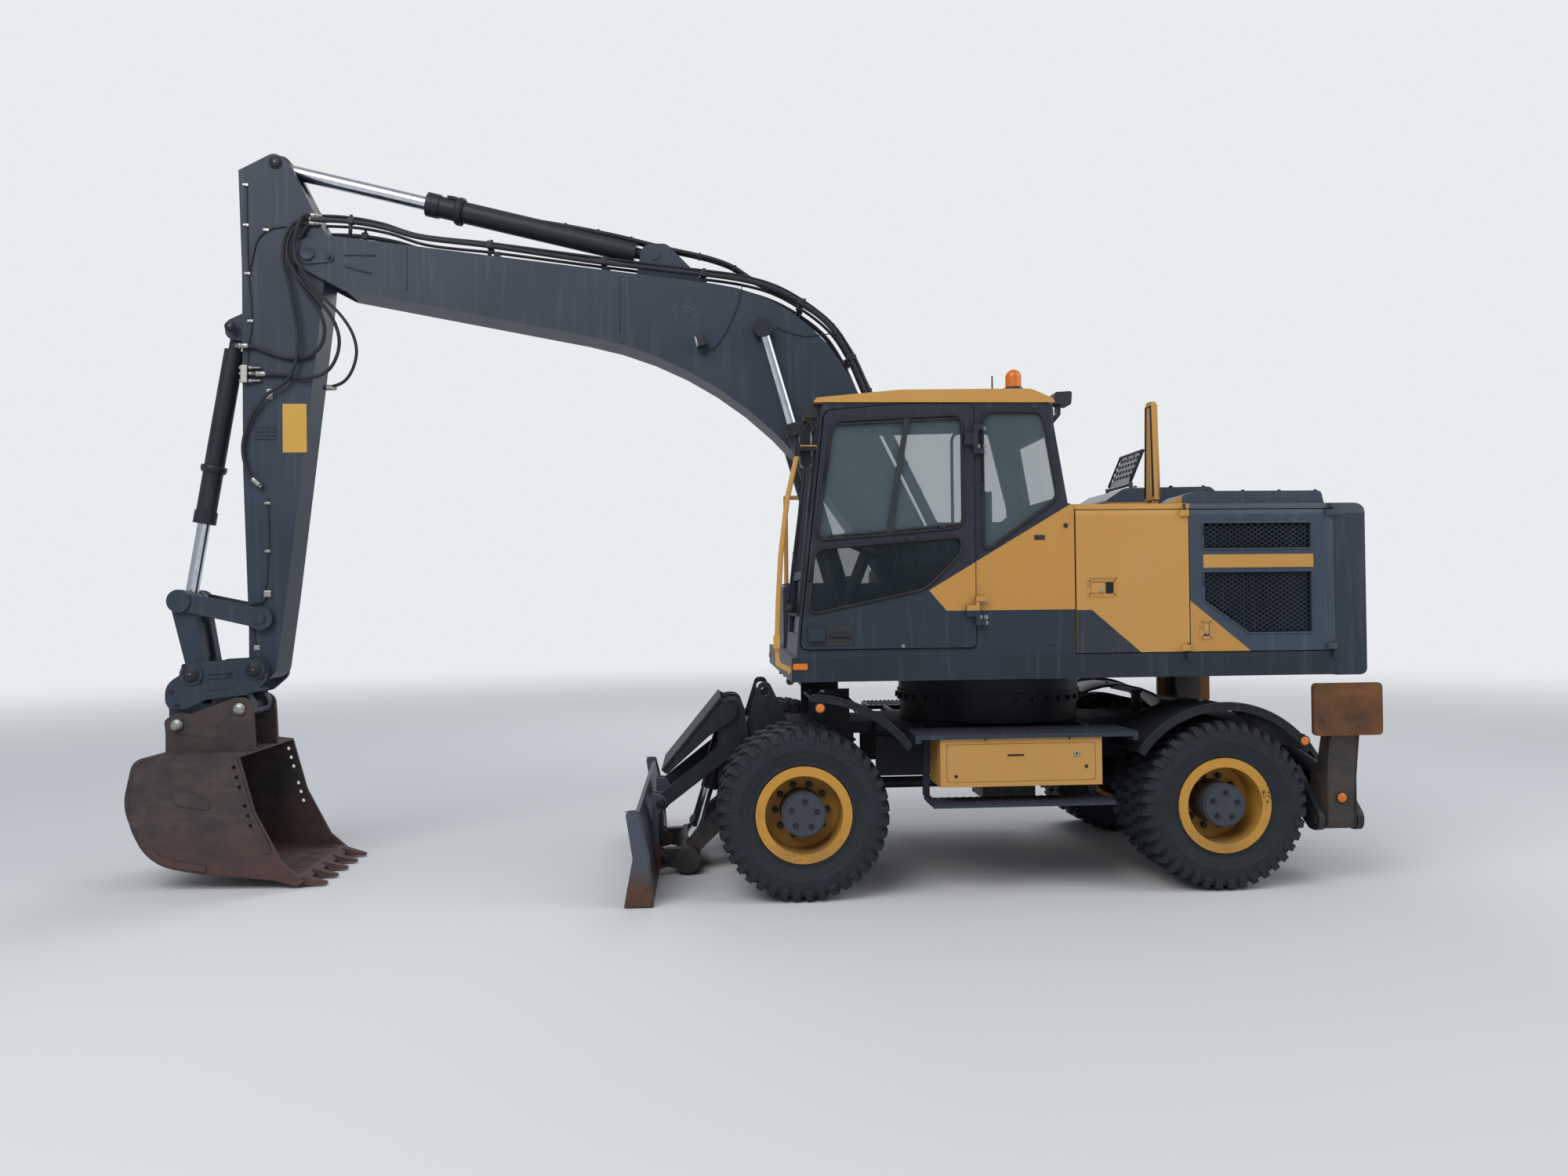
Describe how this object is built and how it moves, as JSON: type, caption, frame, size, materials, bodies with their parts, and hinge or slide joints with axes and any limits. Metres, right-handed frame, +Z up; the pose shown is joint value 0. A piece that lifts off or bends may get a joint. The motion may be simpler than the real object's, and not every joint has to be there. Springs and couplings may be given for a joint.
{
  "type": "wheeled excavator",
  "caption": "Weathered wheeled excavator on twin tyres with a one-piece boom, dozer blade, folding rear outriggers and a rusty digging bucket on a quick coupler.",
  "frame": {"origin": "ground level under the middle of the machine's bounding box, with the working arm at rest as in the picture", "axes": "+Z up, -X to the front (the working arm), -Y to the cab side"},
  "size_m": [8.2916, 2.59, 4.9911],
  "materials": {
    "dark_paint": "worn dark blue-grey paint",
    "yellow_paint": "golden yellow paint, weathered",
    "black_paint": "satin black paint",
    "chassis_paint": "dark grey chassis paint with dried mud",
    "tyre_rubber": "dusty tread rubber",
    "rim_paint": "golden yellow rim paint, dirty",
    "rod_chrome": "hard chrome rod",
    "worn_steel": "rusty worn steel",
    "cab_glass_tint": "tinted safety glass",
    "engine_iron": "cast engine block",
    "cab_plastic": "moulded cab trim",
    "seat_cloth": "woven seat cover",
    "amber_lens": "amber lamp lens"
  },
  "bodies": {
    "undercarriage": {"chassis_frame": "chassis_paint", "running_gear": "chassis_paint", "fenders": "black_paint", "steps": "chassis_paint", "tool_boxes": "yellow_paint"},
    "knuckle_left": {"knuckle_left": "chassis_paint"},
    "knuckle_right": {"knuckle_right": "chassis_paint"},
    "wheel_front_left": {"tyres_front_left": "tyre_rubber", "rims_front_left": "rim_paint"},
    "wheel_front_right": {"tyres_front_right": "tyre_rubber", "rims_front_right": "rim_paint"},
    "wheel_rear_left": {"tyres_rear_left": "tyre_rubber", "rims_rear_left": "rim_paint"},
    "wheel_rear_right": {"tyres_rear_right": "tyre_rubber", "rims_rear_right": "rim_paint"},
    "blade_arms": {"blade_arms": "chassis_paint"},
    "blade_links": {"blade_links": "chassis_paint"},
    "blade_guard": {"blade_guard": "worn_steel"},
    "blade": {"blade": "worn_steel"},
    "blade_barrels": {"blade_barrels": "chassis_paint"},
    "blade_rods": {"blade_rods": "rod_chrome"},
    "outrigger_left": {"outrigger_left": "worn_steel"},
    "outrigger_barrel_left": {"outrigger_barrel_left": "chassis_paint"},
    "outrigger_rod_left": {"outrigger_rod_left": "rod_chrome"},
    "outrigger_right": {"outrigger_right": "worn_steel"},
    "outrigger_barrel_right": {"outrigger_barrel_right": "chassis_paint"},
    "outrigger_rod_right": {"outrigger_rod_right": "rod_chrome"},
    "superstructure": {"upper_frame": "dark_paint", "counterweight": "dark_paint", "hood": "dark_paint", "engine": "engine_iron", "right_body": "dark_paint", "cab_shell": "black_paint", "cab_roof": "yellow_paint", "cab_glass": "cab_glass_tint", "cab_interior": "cab_plastic", "seat": "seat_cloth", "lamps": "amber_lens", "mirrors": "black_paint", "handrails": "yellow_paint"},
    "cab_door": {"cab_door": "black_paint", "cab_door_glass": "cab_glass_tint"},
    "side_door": {"side_door": "yellow_paint"},
    "grille_door": {"grille_door": "black_paint", "grille_mesh": "black_paint"},
    "right_door": {"right_door": "dark_paint"},
    "hatch": {"hatch": "yellow_paint"},
    "hatch_lid": {"hatch_lid": "black_paint"},
    "boom": {"boom": "dark_paint"},
    "boom_barrels": {"boom_barrels": "dark_paint"},
    "boom_rods": {"boom_rods": "rod_chrome"},
    "arm": {"arm": "dark_paint"},
    "arm_barrel": {"arm_barrel": "dark_paint"},
    "arm_rod": {"arm_rod": "rod_chrome"},
    "bucket_barrel": {"bucket_barrel": "dark_paint"},
    "bucket_rod": {"bucket_rod": "rod_chrome"},
    "rocker": {"rocker": "dark_paint"},
    "link": {"link": "dark_paint"},
    "bucket": {"coupler": "dark_paint", "bucket": "worn_steel"}
  },
  "joints": [
    {"name": "swing", "type": "hinge", "parent": "undercarriage", "child": "superstructure", "pos_m": [1.665, 0, 1.25], "axis": [0, 0, 1], "continuous": true},
    {"name": "steer_left", "type": "hinge", "parent": "undercarriage", "child": "knuckle_left", "pos_m": [0.22, -0.64, 0.535], "axis": [0, 0, 1], "range_deg": [-28, 28]},
    {"name": "steer_right", "type": "hinge", "parent": "undercarriage", "child": "knuckle_right", "pos_m": [0.22, 0.64, 0.535], "axis": [0, 0, 1], "range_deg": [-28, 28]},
    {"name": "roll_front_left", "type": "hinge", "parent": "knuckle_left", "child": "wheel_front_left", "pos_m": [0.22, -1.1255, 0.535], "axis": [0, 1, 0], "continuous": true},
    {"name": "roll_front_right", "type": "hinge", "parent": "knuckle_right", "child": "wheel_front_right", "pos_m": [0.22, 1.1255, 0.535], "axis": [0, 1, 0], "continuous": true},
    {"name": "roll_rear_left", "type": "hinge", "parent": "undercarriage", "child": "wheel_rear_left", "pos_m": [2.87, -1.1255, 0.535], "axis": [0, 1, 0], "continuous": true},
    {"name": "roll_rear_right", "type": "hinge", "parent": "undercarriage", "child": "wheel_rear_right", "pos_m": [2.87, 1.1255, 0.535], "axis": [0, 1, 0], "continuous": true},
    {"name": "blade_lift", "type": "hinge", "parent": "undercarriage", "child": "blade_arms", "pos_m": [-0.17, 0, 0.489], "axis": [0, 1, 0], "range_deg": [-14, 48]},
    {"name": "blade_hinge", "type": "hinge", "parent": "blade_arms", "child": "blade", "pos_m": [-0.656, 0, 0.118], "axis": [0, 1, 0], "range_deg": [-48.5, 14.5]},
    {"name": "blade_link_hinge", "type": "hinge", "parent": "undercarriage", "child": "blade_links", "pos_m": [-0.198, 0, 0.865], "axis": [0, 1, 0], "range_deg": [-14.5, 48.5]},
    {"name": "blade_guard_hinge", "type": "hinge", "parent": "undercarriage", "child": "blade_guard", "pos_m": [-0.195, 0, 1.1], "axis": [0, 1, 0], "range_deg": [-14.5, 48.5]},
    {"name": "blade_barrel_hinge", "type": "hinge", "parent": "undercarriage", "child": "blade_barrels", "pos_m": [-0.195, 0, 1.1], "axis": [0, 1, 0], "range_deg": [-5, 16]},
    {"name": "blade_rod_slide", "type": "slide", "parent": "blade_barrels", "child": "blade_rods", "axis": [-0.2918, 0, -0.9565], "range_m": [-0.225, 0.07]},
    {"name": "outrigger_swing_left", "type": "hinge", "parent": "undercarriage", "child": "outrigger_left", "pos_m": [3.655, -1.13, 0.412], "axis": [1, 0, 0], "range_deg": [0, 118]},
    {"name": "outrigger_barrel_hinge_left", "type": "hinge", "parent": "undercarriage", "child": "outrigger_barrel_left", "pos_m": [3.655, -0.42, 0.8], "axis": [1, 0, 0], "range_deg": [-1, 8]},
    {"name": "outrigger_rod_slide_left", "type": "slide", "parent": "outrigger_barrel_left", "child": "outrigger_rod_left", "axis": [0, -0.9738, -0.2274], "range_m": [-0.005, 0.46]},
    {"name": "outrigger_swing_right", "type": "hinge", "parent": "undercarriage", "child": "outrigger_right", "pos_m": [3.655, 1.13, 0.412], "axis": [-1, 0, 0], "range_deg": [0, 118]},
    {"name": "outrigger_barrel_hinge_right", "type": "hinge", "parent": "undercarriage", "child": "outrigger_barrel_right", "pos_m": [3.655, 0.42, 0.8], "axis": [-1, 0, 0], "range_deg": [-1, 8]},
    {"name": "outrigger_rod_slide_right", "type": "slide", "parent": "outrigger_barrel_right", "child": "outrigger_rod_right", "axis": [0, 0.9738, -0.2274], "range_m": [-0.005, 0.46]},
    {"name": "cab_door_hinge", "type": "hinge", "parent": "superstructure", "child": "cab_door", "pos_m": [1.304, -1.282, 2.3], "axis": [0, 0, 1], "range_deg": [0, 150]},
    {"name": "side_door_hinge", "type": "hinge", "parent": "superstructure", "child": "side_door", "pos_m": [2.646, -1.264, 2], "axis": [0, 0, 1], "range_deg": [0, 100]},
    {"name": "grille_door_hinge", "type": "hinge", "parent": "superstructure", "child": "grille_door", "pos_m": [3.592, -1.264, 2], "axis": [0, 0, 1], "range_deg": [0, 100]},
    {"name": "right_door_hinge", "type": "hinge", "parent": "superstructure", "child": "right_door", "pos_m": [3.592, 1.264, 2], "axis": [0, 0, -1], "range_deg": [0, 100]},
    {"name": "hatch_hinge", "type": "hinge", "parent": "superstructure", "child": "hatch", "pos_m": [2.59, -0.845, 2.466], "axis": [0, 1, 0], "range_deg": [-88, 0]},
    {"name": "lid_hinge", "type": "hinge", "parent": "superstructure", "child": "hatch_lid", "pos_m": [2.555, -0.31, 2.626], "axis": [0, -1, 0], "range_deg": [-62, 0]},
    {"name": "boom_lift", "type": "hinge", "parent": "superstructure", "child": "boom", "pos_m": [1.225, 0, 1.85], "axis": [0, 1, 0], "range_deg": [-58, 32]},
    {"name": "boom_barrel_hinge", "type": "hinge", "parent": "superstructure", "child": "boom_barrels", "pos_m": [0.675, 0, 1.6], "axis": [0, 1, 0], "range_deg": [-61, 34]},
    {"name": "boom_rod_slide", "type": "slide", "parent": "boom_barrels", "child": "boom_rods", "axis": [-0.2791, 0, 0.9603], "range_m": [-0.56, 0.32]},
    {"name": "arm_swing", "type": "hinge", "parent": "boom", "child": "arm", "pos_m": [-3.073, 0, 4.272], "axis": [0, -1, 0], "range_deg": [-88, 30]},
    {"name": "arm_barrel_hinge", "type": "hinge", "parent": "boom", "child": "arm_barrel", "pos_m": [-0.704, 0, 4.321], "axis": [0, -1, 0], "range_deg": [-2, 2]},
    {"name": "arm_rod_slide", "type": "slide", "parent": "arm_barrel", "child": "arm_rod", "axis": [-0.9748, 0, 0.223], "range_m": [-0.94, 0.33]},
    {"name": "bucket_curl", "type": "hinge", "parent": "arm", "child": "bucket", "pos_m": [-3.427, 0, 1.424], "axis": [0, -1, 0], "range_deg": [-50, 95]},
    {"name": "rocker_hinge", "type": "hinge", "parent": "arm", "child": "rocker", "pos_m": [-3.403, 0, 1.77], "axis": [0, -1, 0], "range_deg": [-38, 72]},
    {"name": "link_hinge", "type": "hinge", "parent": "rocker", "child": "link", "pos_m": [-3.943, 0, 1.894], "axis": [0, -1, 0], "range_deg": [-41, 22]},
    {"name": "bucket_barrel_hinge", "type": "hinge", "parent": "arm", "child": "bucket_barrel", "pos_m": [-3.612, 0, 3.78], "axis": [0, -1, 0], "range_deg": [-3, 5]},
    {"name": "bucket_rod_slide", "type": "slide", "parent": "bucket_barrel", "child": "bucket_rod", "axis": [-0.1729, 0, -0.9849], "range_m": [-0.325, 0.61]}
  ],
  "couplings": [
    {"joint": "steer_right", "follows": "steer_left", "ratio": 1},
    {"joint": "blade_hinge", "follows": "blade_lift", "ratio": -1},
    {"joint": "blade_link_hinge", "follows": "blade_lift", "ratio": 1},
    {"joint": "blade_guard_hinge", "follows": "blade_lift", "ratio": 1},
    {"joint": "blade_barrel_hinge", "follows": "blade_lift", "ratio": 0.3182},
    {"joint": "blade_rod_slide", "follows": "blade_lift", "m_per_rad": -0.2602},
    {"joint": "outrigger_barrel_hinge_left", "follows": "outrigger_swing_left", "ratio": 0.0525},
    {"joint": "outrigger_rod_slide_left", "follows": "outrigger_swing_left", "m_per_rad": 0.2205},
    {"joint": "outrigger_barrel_hinge_right", "follows": "outrigger_swing_right", "ratio": 0.0525},
    {"joint": "outrigger_rod_slide_right", "follows": "outrigger_swing_right", "m_per_rad": 0.2205},
    {"joint": "boom_barrel_hinge", "follows": "boom_lift", "ratio": 1.0275},
    {"joint": "boom_rod_slide", "follows": "boom_lift", "m_per_rad": 0.5473},
    {"joint": "arm_barrel_hinge", "follows": "arm_swing", "ratio": 0.0095},
    {"joint": "arm_rod_slide", "follows": "arm_swing", "m_per_rad": 0.6032},
    {"joint": "rocker_hinge", "follows": "bucket_curl", "ratio": 0.74455},
    {"joint": "link_hinge", "follows": "bucket_curl", "ratio": -0.42162},
    {"joint": "bucket_barrel_hinge", "follows": "bucket_curl", "ratio": 0.050186},
    {"joint": "bucket_rod_slide", "follows": "bucket_curl", "m_per_rad": 0.36337}
  ]
}
